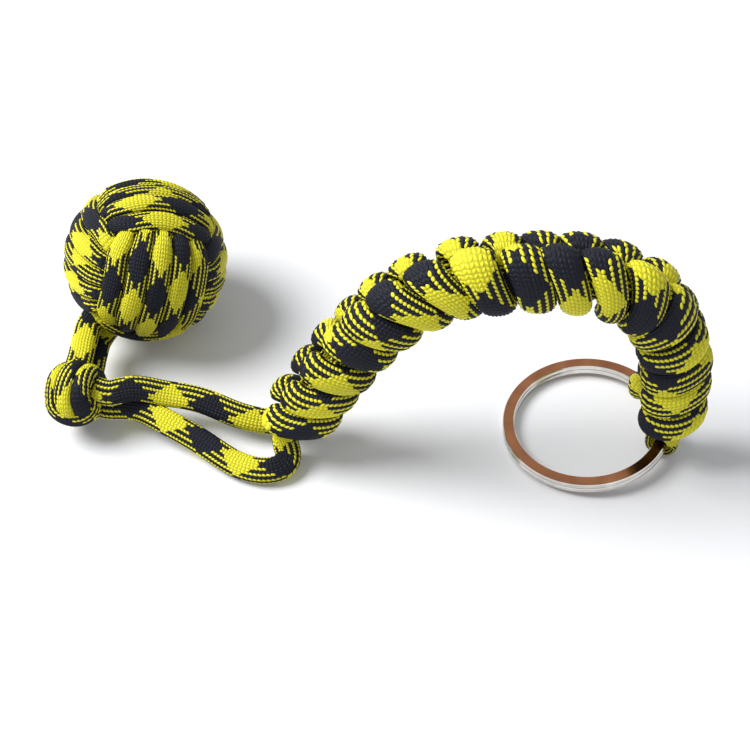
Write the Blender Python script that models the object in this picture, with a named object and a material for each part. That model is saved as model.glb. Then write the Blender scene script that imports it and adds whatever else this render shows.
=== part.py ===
"""Monkey fist key fob: a steel ball wound in cord, a stopper knot, a loop and a snake sennit on a split ring.

Metres, +Z up. The fob lies on the table at z = 0 with its sennit standing as an arch, as it was photographed.
"""

import math

import bmesh
import bpy
import numpy as np
from mathutils import Matrix, Vector

for thing in list(bpy.data.objects):
    bpy.data.objects.remove(thing)

MM = 0.001

# The cord. It is round where it runs free, and the winding and the knots press it flat.
CORD_DIAMETER = 4.0 * MM
TOUCH_GAP = 0.3 * MM
CORD_SIDES = 8
SHARP_ANGLE = math.radians(50)
CORD_STEP = CORD_DIAMETER * 2 / 3
CORD_END_STEP = 0.3 * MM

# The fist: three groups of turns round a steel ball.
CORE_BALL_DIAMETER = 18.0 * MM
FIST_CORD_WIDTH = 3.5 * MM
FIST_CORD_THICKNESS = 3.0 * MM
FIST_TURNS = 5
FIST_STEPS_PER_TURN = 20
FIST_PLACE = (-43.8 * MM, 31.5 * MM)

# The stopper knot: three wraps over the two cords that run through it.
KNOT_WRAPS = 3
KNOT_CORD_WIDTH = 3.3 * MM
KNOT_CORD_THICKNESS = 3.2 * MM
KNOT_HEART_DIAMETER = 4.6 * MM
KNOT_HEART_STEPS = 6
KNOT_PLACE = (-54.5 * MM, 4.9 * MM, 7.7 * MM)

# The snake sennit: two columns of wraps, locked into each other along the middle, over two core cords.
SENNIT_WRAPS = 17
SENNIT_CORD_THICKNESS = 3.0 * MM
SENNIT_CROSSING_THICKNESS = 2.2 * MM
SENNIT_BAND_WIDTH = 5.9 * MM
SENNIT_COLUMN_WIDTH = 6.35 * MM
SENNIT_DEPTH = 12.9 * MM
SENNIT_CROWN_ROLL = math.radians(-18)
SENNIT_STEPS_PER_WRAP = 14
CORE_CORD_THICKNESS = 1.7 * MM
CORE_CORD_WIDTH = 5.6 * MM
CORE_GAP = 0.48 * MM
CORE_TRIM = 0.8 * MM
CORE_STEP = 2.4 * MM
SENNIT_ROUTE = (
    (-16.2, -1.0, 5.4),
    (-10.4, -1.0, 15.8),
    (-5.8, -1.0, 24.7),
    (-1.2, -1.0, 31.8),
    (3.9, -1.0, 38.2),
    (9.2, -1.0, 42.6),
    (15.8, -1.0, 45.4),
    (22.4, -1.0, 46.4),
    (29.0, -1.0, 46.6),
    (35.8, -1.0, 45.8),
    (41.2, -1.0, 43.8),
    (45.8, -1.2, 40.4),
    (49.4, -1.5, 35.2),
    (51.8, -1.8, 28.2),
    (52.9, -2.1, 20.4),
    (53.2, -2.4, 14.2),
    (53.0, -2.6, 9.6),
)

# The split ring: one flat wire, wound twice.
RING_OUTER_DIAMETER = 31.0 * MM
RING_WIRE_WIDTH = 2.2 * MM
RING_WIRE_HEIGHT = 0.95 * MM
RING_TURN_GAP = 0.12 * MM
RING_STEPS_PER_TURN = 40
RING_STEP_FROM = math.radians(15)
RING_STEP_TO = math.radians(50)
RING_CENTRE = (39.3 * MM, 2.1 * MM)

# The cord eye that holds the ring under the end of the sennit.
EYE_CORD_THICKNESS = 1.6 * MM
EYE_CORD_WIDTH = 4.2 * MM
EYE_CLEARANCE = 0.3 * MM
EYE_LEG_STEPS = 5
EYE_BEND_STEPS = 8

# How large a joint's mark is drawn.
JOINT_MARK_SIZE = 5.0 * MM

# Where the middle of the footprint lies, seen from the point of the table that the places are measured from.
FOOTPRINT_MIDDLE = Vector((-0.97 * MM, 16.79 * MM, 0.0))

YELLOW = (0.72, 0.66, 0.03, 1.0)
NAVY = (0.015, 0.017, 0.035, 1.0)
STEEL = (0.62, 0.6, 0.58, 1.0)


def place(x, y, z):
    """A point of the layout, in metres from the middle of the footprint."""
    return Vector((x, y, z)) - FOOTPRINT_MIDDLE


def places(points_in_mm):
    return [place(x * MM, y * MM, z * MM) for x, y, z in points_in_mm]


def finish_material(name, colour, roughness, metallic=0.0):
    material = bpy.data.materials.new(name)
    material.use_nodes = True
    shader = material.node_tree.nodes["Principled BSDF"]
    shader.inputs["Base Color"].default_value = colour
    shader.inputs["Roughness"].default_value = roughness
    shader.inputs["Metallic"].default_value = metallic
    material.diffuse_color = colour
    return material


def add_object(name, data, colour, roughness, metallic=0.0):
    data.materials.append(finish_material(name, colour, roughness, metallic))
    thing = bpy.data.objects.new(name, data)
    bpy.context.collection.objects.link(thing)
    return thing


def hang_from(child, parent_empty):
    """Parents a piece to the empty on its joint, leaving it where it is."""
    child.parent = parent_empty
    child.matrix_parent_inverse = parent_empty.matrix_world.inverted()


def joint_empty(name, point):
    empty = bpy.data.objects.new(name, None)
    empty.empty_display_size = JOINT_MARK_SIZE
    empty.location = point
    bpy.context.collection.objects.link(empty)
    bpy.context.view_layer.update()
    return empty


def natural_curve(points):
    """A smooth curve through the points: a function from a length along it to a place, and its length."""
    knots = np.array([tuple(point) for point in points], float)
    chords = np.linalg.norm(np.diff(knots, axis=0), axis=1)
    at = np.concatenate([[0.0], np.cumsum(chords)])
    last = len(knots) - 1
    system = np.eye(last + 1)
    pull = np.zeros_like(knots)
    for i in range(1, last):
        before, after = chords[i - 1], chords[i]
        system[i, i - 1 : i + 2] = before, 2 * (before + after), after
        pull[i] = 6 * ((knots[i + 1] - knots[i]) / after - (knots[i] - knots[i - 1]) / before)
    bend = np.linalg.solve(system, pull)

    def along(distance):
        i = int(np.clip(np.searchsorted(at, distance) - 1, 0, last - 1))
        chord = chords[i]
        done, left = distance - at[i], at[i + 1] - distance
        return (
            bend[i] * left**3 / (6 * chord)
            + bend[i + 1] * done**3 / (6 * chord)
            + (knots[i] / chord - bend[i] * chord / 6) * left
            + (knots[i + 1] / chord - bend[i + 1] * chord / 6) * done
        )

    fine = np.array([along(distance) for distance in np.linspace(0.0, at[-1], 400)])
    run = np.concatenate([[0.0], np.cumsum(np.linalg.norm(np.diff(fine, axis=0), axis=1))])

    def at_length(length):
        return Vector([float(np.interp(length, run, fine[:, axis])) for axis in range(3)])

    return at_length, float(run[-1])


def oval_section(width, thickness, sides):
    """The (across, out) points of a pressed cord's section: an oval with its flanks filled out."""
    fullness = 0.8
    points = []
    for k in range(sides):
        angle = 2 * math.pi * k / sides
        c, s = math.cos(angle), math.sin(angle)
        across = math.copysign(abs(c) ** fullness, c) * width / 2
        out = math.copysign(abs(s) ** fullness, s) * thickness / 2
        points.append((across, out))
    return points


def cord_mesh(name, sections):
    """A closed mesh through rings of points, all with the same count, and flat at both ends."""
    shape = bmesh.new()
    rings = [[shape.verts.new(point) for point in section] for section in sections]
    sides = len(rings[0])
    for here, there in zip(rings, rings[1:]):
        for k in range(sides):
            after = (k + 1) % sides
            shape.faces.new((here[k], here[after], there[after], there[k]))
    shape.faces.new(rings[0][::-1])
    shape.faces.new(rings[-1])
    bmesh.ops.recalc_face_normals(shape, faces=shape.faces[:])
    mesh = bpy.data.meshes.new(name)
    shape.to_mesh(mesh)
    shape.free()
    mesh.shade_smooth()
    mesh.set_sharp_from_angle(angle=SHARP_ANGLE)
    return mesh


def pressed_cord(name, centres, outs, widths, thicknesses, colour, sides=CORD_SIDES):
    """A cord pressed against what it is wound on: outs point away from that, and each section is an oval."""
    sections = []
    for i, centre in enumerate(centres):
        before, after = centres[max(i - 1, 0)], centres[min(i + 1, len(centres) - 1)]
        run = (after - before).normalized()
        out = (outs[i] - run * outs[i].dot(run)).normalized()
        across = run.cross(out)
        oval = oval_section(widths[i], thicknesses[i], sides)
        sections.append([centre + across * a + out * b for a, b in oval])
    return add_object(name, cord_mesh(name, sections), colour, 0.8)


def round_cord(name, at_length, start, end, colour):
    """A free cord from one length along its route to another, with a short step to keep each end square."""
    count = max(4, round((end - start) / CORD_STEP))
    lengths = [start, start + CORD_END_STEP]
    lengths += [start + (end - start) * i / count for i in range(1, count)]
    lengths += [end - CORD_END_STEP, end]
    curve = bpy.data.curves.new(name, "CURVE")
    curve.dimensions = "3D"
    curve.bevel_depth = CORD_DIAMETER / 2
    curve.bevel_resolution = 2
    curve.use_fill_caps = True
    line = curve.splines.new("POLY")
    line.points.add(len(lengths) - 1)
    for length, point in zip(lengths, line.points):
        point.co = (*at_length(length), 1.0)
    line.use_smooth = True
    return add_object(name, curve, colour, 0.8)


def smooth_step(x):
    x = min(max(x, 0.0), 1.0)
    return x * x * (3 - 2 * x)


# The layers of the fist, as distances of the cord's middle from the ball's centre.
FIST_INNER_RADIUS = CORE_BALL_DIAMETER / 2 + TOUCH_GAP + FIST_CORD_THICKNESS / 2
FIST_OUTER_RADIUS = FIST_INNER_RADIUS + FIST_CORD_THICKNESS + TOUCH_GAP
FIST_RADIUS = FIST_OUTER_RADIUS + FIST_CORD_THICKNESS / 2
FIST_CENTRE = place(*FIST_PLACE, FIST_RADIUS)
FIST_PITCH = FIST_CORD_WIDTH + TOUCH_GAP
# The fist's faces, as directions from its centre: the front one, and roughly the top one.
FIST_FRONT_AXIS = Vector((0.23, -0.92, 0.3)).normalized()
FIST_TOP_ROUGHLY = Vector((0.25, 0.36, 0.9))
FIST_LEFT_AXIS = FIST_FRONT_AXIS.cross(FIST_TOP_ROUGHLY).normalized()
FIST_TOP_AXIS = FIST_LEFT_AXIS.cross(FIST_FRONT_AXIS)
# A turn stays on the outside up to the first angle and is back on the core ball at the second.
FIST_DIVE_FROM = math.radians(37)
FIST_DIVE_TO = math.radians(58)
# The turns are pinched together where they pass under the next group, to this share of their width.
FIST_PINCH = 0.655
# The share of a turn over which the cord moves over to its next turn.
FIST_MOVE_OVER = 0.13


def from_outer_face(angle):
    """How far round a turn is from the middle of the nearer of the two faces where it runs outside."""
    return abs((angle + math.pi / 2) % math.pi - math.pi / 2)


def fist_layer(angle):
    """1 where a turn runs on the outside of the fist, 0 where it runs on the core ball."""
    return 1 - smooth_step((from_outer_face(angle) - FIST_DIVE_FROM) / (FIST_DIVE_TO - FIST_DIVE_FROM))


def fist_pinch(angle):
    return 1 - (1 - FIST_PINCH) * smooth_step(from_outer_face(angle) / FIST_DIVE_FROM)


def fist_offset(turned):
    """How far to the side of the ball's centre a turn lies. It moves over by one cord where it is hidden."""
    turn = turned / (2 * math.pi)
    whole = math.floor(turn + 0.5)
    steps = whole - 1 + smooth_step((turn - whole) / FIST_MOVE_OVER + 0.5)
    steps = min(max(steps, 0.0), FIST_TURNS - 1.0)
    return (steps - (FIST_TURNS - 1) / 2) * FIST_PITCH


def fist_winding(name, outer_axis, inner_axis, side_axis, colour):
    centres, outs, widths = [], [], []
    count = FIST_TURNS * FIST_STEPS_PER_TURN
    for i in range(count + 1):
        turned = 2 * math.pi * FIST_TURNS * i / count
        angle = turned - math.pi / 2
        offset = fist_offset(turned) * fist_pinch(angle)
        radius = FIST_INNER_RADIUS + (FIST_OUTER_RADIUS - FIST_INNER_RADIUS) * fist_layer(angle)
        in_plane = math.sqrt(radius**2 - offset**2)
        round_ball = outer_axis * math.cos(angle) + inner_axis * math.sin(angle)
        out = round_ball * in_plane + side_axis * offset
        centres.append(FIST_CENTRE + out)
        outs.append(out)
        widths.append(FIST_PITCH * fist_pinch(angle) - TOUCH_GAP)
    return pressed_cord(name, centres, outs, widths, [FIST_CORD_THICKNESS] * len(centres), colour)


def fist():
    front, top, left = FIST_FRONT_AXIS, FIST_TOP_AXIS, FIST_LEFT_AXIS
    windings = [
        fist_winding("fist_winding_front", front, top, left, NAVY),
        fist_winding("fist_winding_top", top, left, front, YELLOW),
        fist_winding("fist_winding_side", left, front, top, YELLOW),
    ]
    ball = bpy.data.meshes.new("core_ball")
    shape = bmesh.new()
    bmesh.ops.create_uvsphere(shape, u_segments=24, v_segments=12, radius=CORE_BALL_DIAMETER / 2)
    shape.to_mesh(ball)
    shape.free()
    ball.shade_smooth()
    core = add_object("core_ball", ball, STEEL, 0.3, 1.0)
    core.location = FIST_CENTRE
    return [*windings, core]


KNOT_CENTRE = place(*KNOT_PLACE)
KNOT_WRAP_RADIUS = KNOT_HEART_DIAMETER / 2 + TOUCH_GAP + KNOT_CORD_THICKNESS / 2
KNOT_PITCH = KNOT_CORD_WIDTH + TOUCH_GAP
KNOT_AXIS = Vector((0.98, -0.15, -0.1)).normalized()
KNOT_SIDEWAYS = KNOT_AXIS.cross(Vector((0, 0, 1))).normalized()
KNOT_UPWARDS = KNOT_SIDEWAYS.cross(KNOT_AXIS)
KNOT_HALF_LENGTH = KNOT_WRAPS * KNOT_PITCH / 2
KNOT_STEPS_PER_WRAP = 18
KNOT_FIRST_ANGLE = math.radians(60)


def stopper_knot():
    """The wraps run round the knot's axis, over a heart of the two cords that pass through it."""
    count = KNOT_WRAPS * KNOT_STEPS_PER_WRAP
    centres, outs = [], []
    for i in range(count + 1):
        turned = i / KNOT_STEPS_PER_WRAP
        angle = 2 * math.pi * turned + KNOT_FIRST_ANGLE
        out = KNOT_SIDEWAYS * math.cos(angle) + KNOT_UPWARDS * math.sin(angle)
        along = turned * KNOT_PITCH - KNOT_HALF_LENGTH
        centres.append(KNOT_CENTRE + KNOT_AXIS * along + out * KNOT_WRAP_RADIUS)
        outs.append(out)
    sizes = len(centres)
    wraps = pressed_cord(
        "knot_wraps", centres, outs, [KNOT_CORD_WIDTH] * sizes, [KNOT_CORD_THICKNESS] * sizes, YELLOW
    )
    shares = [2 * k / KNOT_HEART_STEPS - 1 for k in range(KNOT_HEART_STEPS + 1)]
    middles = [KNOT_CENTRE + KNOT_AXIS * KNOT_HALF_LENGTH * share for share in shares]
    widths = [KNOT_HEART_DIAMETER] * len(shares)
    heart = pressed_cord("knot_heart", middles, [KNOT_UPWARDS] * len(shares), widths, widths, NAVY)
    return [wraps, heart]


# The sennit is laid out straight, with s along it, then bent along its route with everything in it.
SENNIT_AT, SENNIT_LENGTH = natural_curve(places(SENNIT_ROUTE))
SENNIT_PITCH = SENNIT_LENGTH / (SENNIT_WRAPS + 0.5)
SEAM_CORD_WIDTH = SENNIT_PITCH / 2 - TOUCH_GAP
COLUMN_MIDDLE = (SENNIT_COLUMN_WIDTH - SENNIT_CORD_THICKNESS / 2) / 2
HALF_DEPTH = (SENNIT_DEPTH - SENNIT_CORD_THICKNESS) / 2
# A wrap's outline is a rounded box, squarer at its hidden crossing than on the outside.
CROSSING_SQUARENESS = 0.55
OUTSIDE_SQUARENESS = 0.85
# How far each core cord lies to the side of the middle, clear of the crossings.
CORE_MIDDLE = SENNIT_CROSSING_THICKNESS / 2 + CORE_CORD_THICKNESS / 2 + CORE_GAP
# The share of a wrap, at each end of it, that crosses straight through the middle.
CROSSING_SHARE = 0.19


def bent_along_route(p, q, s):
    """The place of a point of the straight sennit: p across the two columns, q through them, s along.

    The sennit rolls back a little towards its crown, so that its near column faces up there.
    """
    small = 0.2 * MM
    s_inside = min(max(s, small), SENNIT_LENGTH - small)
    middle = SENNIT_AT(s_inside)
    run = (SENNIT_AT(s_inside + small) - SENNIT_AT(s_inside - small)).normalized()
    middle += run * (s - s_inside)
    level = Vector((0, -1, 0))
    level = (level - run * level.dot(run)).normalized()
    outer = level.cross(run)
    roll = SENNIT_CROWN_ROLL * math.sin(math.pi * s_inside / SENNIT_LENGTH) ** 2
    column = level * math.cos(roll) - outer * math.sin(roll)
    through = level * math.sin(roll) + outer * math.cos(roll)
    return middle + column * p + through * q


# The free cords run in pairs. Each route is the points chosen along it, in millimetres, between its two ends.
TABLE_CORD = (CORD_DIAMETER / 2 + TOUCH_GAP / 6) / MM
NECK_LEAVES_FIST = Vector((-0.556, -0.712, -0.428)).normalized()
NECK_CLEAR_OF_FIST = 1.7 * MM
NECK_CLEAR_OF_KNOT = 1.2 * MM
NECK_SPREAD = Vector((-0.33, 0.1, 0.94)).normalized()
NECK_BOW = Vector((-0.3 * MM, 0, 0.25 * MM))
LOOP_CLEAR_OF_KNOT = 0.9 * MM
LOOP_BACK_ROUTE = (
    (-44.0, 5.1, 8.8),
    (-40.0, 5.3, 7.6),
    (-35.5, 4.9, 6.9),
    (-31.0, 3.9, 6.3),
    (-26.5, 2.4, 5.2),
    (-22.4, 1.6, 4.2),
    (-19.2, 1.4, 3.8),
    (-17.1, 1.4, 4.3),
)
LOOP_FRONT_ROUTE = (
    (-44.0, 3.7, 4.9),
    (-40.0, 1.7, 4.5),
    (-35.5, -0.9, 3.9),
    (-31.0, -3.6, 3.1),
    (-26.5, -6.6, 2.3),
    (-22.0, -8.6, TABLE_CORD),
    (-19.0, -8.7, TABLE_CORD),
    (-16.8, -7.7, TABLE_CORD),
    (-15.9, -5.6, TABLE_CORD + 0.4),
    (-16.3, -4.1, TABLE_CORD + 1.6),
)
# The front cord turns round under the foot of the sennit from here on, counted back from its end.
FOOT_TURN_LENGTH = 13.0 * MM
# It meets its core cord at a slant, so it stops this much short of it.
FOOT_TURN_SHORT = 1.1 * MM


def kept_apart(here, there):
    """Two places of cords that run side by side, moved apart if the cords would run into each other."""
    between = here - there
    short = CORD_DIAMETER + TOUCH_GAP - between.length
    push = between.normalized() * max(short, 0.0) / 2
    return here + push, there - push


def neck_routes():
    """The two cords from the fist to the knot, side by side."""
    start = FIST_CENTRE + NECK_LEAVES_FIST * (FIST_RADIUS + NECK_CLEAR_OF_FIST)
    knot_radius = KNOT_WRAP_RADIUS + KNOT_CORD_THICKNESS / 2
    away = (KNOT_UPWARDS * 0.17 - KNOT_SIDEWAYS).normalized()
    end = KNOT_CENTRE - KNOT_AXIS * KNOT_HALF_LENGTH * 0.35 + away * (knot_radius + NECK_CLEAR_OF_KNOT)
    middles = [start, start.lerp(end, 1 / 3) + NECK_BOW, start.lerp(end, 2 / 3) + NECK_BOW, end]
    pairs = [kept_apart(middle + NECK_SPREAD * MM, middle - NECK_SPREAD * MM) for middle in middles]
    return [pair[0] for pair in pairs], [pair[1] for pair in pairs]


def loop_routes():
    """The two cords from the knot to the foot of the sennit. They leave the knot one over the other."""
    end = KNOT_CENTRE + KNOT_AXIS * (KNOT_HALF_LENGTH + LOOP_CLEAR_OF_KNOT)
    back = [end + KNOT_UPWARDS * MM, *places(LOOP_BACK_ROUTE)]
    front = [end - KNOT_UPWARDS * MM, *places(LOOP_FRONT_ROUTE)]
    for i in range(len(back) - 1):
        back[i], front[i] = kept_apart(back[i], front[i])
    core_start = CORE_TRIM - TOUCH_GAP
    back.append(bent_along_route(-CORE_MIDDLE, 0, core_start))
    front.append(bent_along_route(CORE_MIDDLE, 0, core_start - FOOT_TURN_SHORT))
    return back, front


def free_cords():
    """The stretches of cord that run free, and the place in the middle of each pair, where it folds."""
    necks, neck_middles = [], []
    for name, route in zip(("neck_cord_left", "neck_cord_right"), neck_routes()):
        at_length, length = natural_curve(route)
        necks.append(round_cord(name, at_length, 0, length, YELLOW))
        neck_middles.append(at_length(length / 2))
    back, front = loop_routes()
    back_at, back_length = natural_curve(back)
    front_at, front_length = natural_curve(front)
    loop_end = front_length - FOOT_TURN_LENGTH
    round_cord("loop_cord_back", back_at, 0, back_length, NAVY)
    round_cord("loop_cord_front", front_at, 0, loop_end - TOUCH_GAP / 2, NAVY)
    round_cord("foot_turn_cord", front_at, loop_end + TOUCH_GAP / 2, front_length, YELLOW)
    neck_fold = (neck_middles[0] + neck_middles[1]) / 2
    loop_fold = (back_at(back_length / 2) + front_at(loop_end / 2)) / 2
    return necks, neck_fold, loop_fold


def wrap_outline(steps):
    """One wrap seen along the sennit: even steps (p, q) from the middle of its hidden crossing and back."""
    fine = []
    samples = 720
    for k in range(samples + 1):
        angle = math.pi + 2 * math.pi * k / samples
        c, s = math.cos(angle), math.sin(angle)
        power = CROSSING_SQUARENESS if c < 0 else OUTSIDE_SQUARENESS
        p = COLUMN_MIDDLE + COLUMN_MIDDLE * math.copysign(abs(c) ** power, c)
        q = -HALF_DEPTH * math.copysign(abs(s) ** power, s)
        fine.append((p, q))
    fine = np.array(fine)
    run = np.concatenate([[0.0], np.cumsum(np.linalg.norm(np.diff(fine, axis=0), axis=1))])
    even = np.linspace(0.0, run[-1], steps + 1)
    return [(float(np.interp(x, run, fine[:, 0])), float(np.interp(x, run, fine[:, 1]))) for x in even]


def wrap_strand(name, side, first, last, colour):
    """Wraps first to last of one column. side is 1 for the column on the -Y side and -1 for the far one."""
    steps = SENNIT_STEPS_PER_WRAP
    outline = wrap_outline(steps)
    rows = []
    for wrap in range(first, last):
        for k in range(steps + (wrap == last - 1)):
            share = k / steps
            p, q = outline[k]
            before, after = outline[k - 1 if k else steps - 1], outline[k + 1 if k < steps else 1]
            run_p, run_q = after[0] - before[0], after[1] - before[1]
            size = math.hypot(run_p, run_q)
            out_p, out_q = -run_q / size, run_p / size
            round_outside = (share - CROSSING_SHARE) / (1 - 2 * CROSSING_SHARE)
            s = (wrap + smooth_step(round_outside)) * SENNIT_PITCH
            spread = smooth_step(p / COLUMN_MIDDLE)
            rows.append((p, q, s, out_p, out_q, spread))
    shift = SENNIT_PITCH * (0.5 if side > 0 else 1.0)
    sections = []
    for i, (p, q, s, out_p, out_q, spread) in enumerate(rows):
        width = SEAM_CORD_WIDTH + (SENNIT_BAND_WIDTH - SEAM_CORD_WIDTH) * spread
        thicker = SENNIT_CORD_THICKNESS - SENNIT_CROSSING_THICKNESS
        thickness = SENNIT_CROSSING_THICKNESS + thicker * spread
        trim = TOUCH_GAP / 2 * ((i == 0) - (i == len(rows) - 1))
        section = []
        for across, out in oval_section(width, thickness, CORD_SIDES):
            point_p = side * (p + out_p * out)
            point_q = side * (q + out_q * out + trim)
            section.append(bent_along_route(point_p, point_q, s + shift + across))
        sections.append(section)
    return add_object(name, cord_mesh(name, sections), colour, 0.8)


def core_cord(name, side):
    """A cord that runs the whole length of the sennit inside one column of wraps."""
    count = round(SENNIT_LENGTH / CORE_STEP)
    start, end = CORE_TRIM, SENNIT_LENGTH - CORE_TRIM
    sections = []
    for i in range(count + 1):
        s = start + (end - start) * i / count
        oval = oval_section(CORE_CORD_WIDTH, CORE_CORD_THICKNESS, CORD_SIDES)
        sections.append([bent_along_route(side * CORE_MIDDLE + b, a, s) for a, b in oval])
    return add_object(name, cord_mesh(name, sections), NAVY, 0.8)


# The stretches of the sennit: wraps are counted from the foot, and a bend is one loose wrap that gives.
STRETCHES = {
    "foot": (0, 5),
    "bend_left": (5, 6),
    "crown": (6, 10),
    "bend_right": (10, 11),
    "leg": (11, 17),
}


def sennit():
    pieces = {}
    for stretch, (first, last) in STRETCHES.items():
        far_first, far_last = (first - 1, last) if "bend" in stretch else (first, last - 1)
        pieces[stretch] = [
            wrap_strand("sennit_near_" + stretch, 1, first, last, NAVY),
            wrap_strand("sennit_far_" + stretch, -1, far_first, far_last, YELLOW),
        ]
    cores = [core_cord("sennit_core_near", 1), core_cord("sennit_core_far", -1)]
    return pieces, cores


# The ring lies on the table at its far side and on the cord eye at its near side.
RING_HEIGHT = 2 * RING_WIRE_HEIGHT + RING_TURN_GAP
RING_MIDDLE_RADIUS = (RING_OUTER_DIAMETER - RING_WIRE_WIDTH) / 2
EYE_INNER_RADIUS = math.hypot(RING_HEIGHT, RING_WIRE_WIDTH) / 2 + EYE_CLEARANCE
EYE_HEIGHT = TOUCH_GAP / 2 + EYE_CORD_THICKNESS + EYE_INNER_RADIUS
EYE_DIRECTION = math.radians(-19)
RING_TILT = math.asin((EYE_HEIGHT - RING_HEIGHT / 2) / (RING_MIDDLE_RADIUS + RING_OUTER_DIAMETER / 2))


def ring_matrix():
    """Takes the flat ring, eye side on +X, to where it lies."""
    towards_eye = Matrix.Rotation(EYE_DIRECTION, 4, "Z")
    tilt = Matrix.Rotation(-RING_TILT, 4, "Y")
    height = EYE_HEIGHT - RING_MIDDLE_RADIUS * math.sin(RING_TILT)
    return Matrix.Translation(place(*RING_CENTRE, height)) @ towards_eye @ tilt


def split_ring():
    count = 2 * RING_STEPS_PER_TURN
    half_width, half_height = RING_WIRE_WIDTH / 2, RING_WIRE_HEIGHT / 2
    rise = RING_WIRE_HEIGHT + RING_TURN_GAP
    step_over = RING_STEP_TO - RING_STEP_FROM
    turned_in_all = 4 * math.pi - step_over
    sections = []
    for i in range(count + 1):
        turned = turned_in_all * i / count
        climbed = smooth_step((turned - (2 * math.pi - step_over)) / step_over)
        middle = rise * (climbed - 0.5)
        angle = RING_STEP_TO + turned
        outwards = Vector((math.cos(angle), math.sin(angle), 0))
        section = []
        for side, level in ((-1, -1), (1, -1), (1, 1), (-1, 1)):
            flat = outwards * (RING_MIDDLE_RADIUS + side * half_width)
            section.append(flat + Vector((0, 0, middle + level * half_height)))
        sections.append(section)
    mesh = cord_mesh("split_ring", sections)
    mesh.set_sharp_from_angle(angle=math.radians(30))
    ring = add_object("split_ring", mesh, STEEL, 0.2, 1.0)
    ring.matrix_world = ring_matrix()
    return ring


def cord_eye():
    """The cord leaves one core, goes down outside the ring, under it, and up inside it to the other core.

    Its two legs twist round each other on the way, because the ring lies across the line of the two cores.
    """
    pivot = ring_matrix() @ Vector((RING_MIDDLE_RADIUS, 0, 0))
    top = bent_along_route(0, 0, SENNIT_LENGTH - CORE_TRIM + TOUCH_GAP)
    bend_radius = EYE_INNER_RADIUS + EYE_CORD_THICKNESS / 2
    twist = -math.pi / 2 - EYE_DIRECTION
    centres, outs = [], []
    for side in (1, -1):
        leg = []
        for k in range(EYE_LEG_STEPS):
            down = k / EYE_LEG_STEPS
            direction = EYE_DIRECTION + twist * smooth_step(1.15 * (1 - down))
            out = Vector((math.cos(direction), math.sin(direction), 0)) * side
            radius = CORE_MIDDLE + (bend_radius - CORE_MIDDLE) * down
            leg.append((top.lerp(pivot, down) + out * radius, out))
        if side > 0:
            centres += [centre for centre, out in leg]
            outs += [out for centre, out in leg]
            away = Vector((math.cos(EYE_DIRECTION), math.sin(EYE_DIRECTION), 0))
            for k in range(EYE_BEND_STEPS + 1):
                angle = math.pi * k / EYE_BEND_STEPS
                out = away * math.cos(angle) - Vector((0, 0, 1)) * math.sin(angle)
                centres.append(pivot + out * bend_radius)
                outs.append(out)
        else:
            centres += [centre for centre, out in reversed(leg)]
            outs += [out for centre, out in reversed(leg)]
    sizes = len(centres)
    return pressed_cord(
        "ring_eye_cord", centres, outs, [EYE_CORD_WIDTH] * sizes, [EYE_CORD_THICKNESS] * sizes, YELLOW
    )


def bend_point(stretch):
    """The middle of a bend's loose wrap, on the sennit's own middle line."""
    first, last = STRETCHES[stretch]
    return SENNIT_AT(((first + last) / 2 + 0.5) * SENNIT_PITCH)


def joints(fist_pieces, knot_pieces, sennit_pieces, cores, eye, ring, neck_fold, loop_fold):
    """One empty on each joint, parented from the foot of the sennit outwards."""
    left_bend = joint_empty("joint_sennit_bend_left", bend_point("bend_left"))
    right_bend = joint_empty("joint_sennit_bend_right", bend_point("bend_right"))
    flop = joint_empty("joint_ring_flop", ring_matrix() @ Vector((RING_MIDDLE_RADIUS, 0, 0)))
    fold = joint_empty("joint_loop_fold", loop_fold)
    swing = joint_empty("joint_fist_swing", neck_fold)
    hang_from(right_bend, left_bend)
    hang_from(flop, right_bend)
    hang_from(swing, fold)
    for piece in [*sennit_pieces["crown"], *sennit_pieces["bend_right"], *cores]:
        hang_from(piece, left_bend)
    for piece in [*sennit_pieces["leg"], eye]:
        hang_from(piece, right_bend)
    hang_from(ring, flop)
    for piece in knot_pieces:
        hang_from(piece, fold)
    for piece in fist_pieces:
        hang_from(piece, swing)


fist_pieces = fist()
necks, neck_fold, loop_fold = free_cords()
knot_pieces = [*stopper_knot(), *necks]
sennit_pieces, cores = sennit()
joints(fist_pieces, knot_pieces, sennit_pieces, cores, cord_eye(), split_ring(), neck_fold, loop_fold)
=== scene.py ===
"""The looks of the monkey fist key fob: two-colour braided cord, wound and knotted, on a split ring."""

import math

import bpy
import numpy as np
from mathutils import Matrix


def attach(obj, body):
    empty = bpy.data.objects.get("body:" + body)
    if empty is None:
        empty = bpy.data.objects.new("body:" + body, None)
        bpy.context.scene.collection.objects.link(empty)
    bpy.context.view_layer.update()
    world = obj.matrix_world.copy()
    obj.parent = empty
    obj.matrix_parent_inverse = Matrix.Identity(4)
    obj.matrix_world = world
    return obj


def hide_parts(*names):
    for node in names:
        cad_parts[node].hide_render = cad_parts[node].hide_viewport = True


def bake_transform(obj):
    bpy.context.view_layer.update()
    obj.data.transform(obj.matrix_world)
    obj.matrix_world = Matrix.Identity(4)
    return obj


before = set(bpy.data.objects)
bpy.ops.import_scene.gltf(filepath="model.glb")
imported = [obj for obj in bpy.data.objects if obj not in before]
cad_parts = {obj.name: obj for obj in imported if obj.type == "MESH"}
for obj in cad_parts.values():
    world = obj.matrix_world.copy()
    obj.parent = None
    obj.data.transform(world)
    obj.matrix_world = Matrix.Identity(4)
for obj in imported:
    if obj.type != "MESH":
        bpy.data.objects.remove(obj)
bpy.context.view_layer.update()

# The view. The fob lies on a table and is seen from the front through a long lens, fifty degrees above the
# table. The camera looks at the middle of the fob.
MM = 0.001
CAMERA_RISE = math.radians(50)
CAMERA_DISTANCE = 340 * MM
CAMERA_WIDTH_OF_VIEW = math.radians(23.95)
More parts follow.
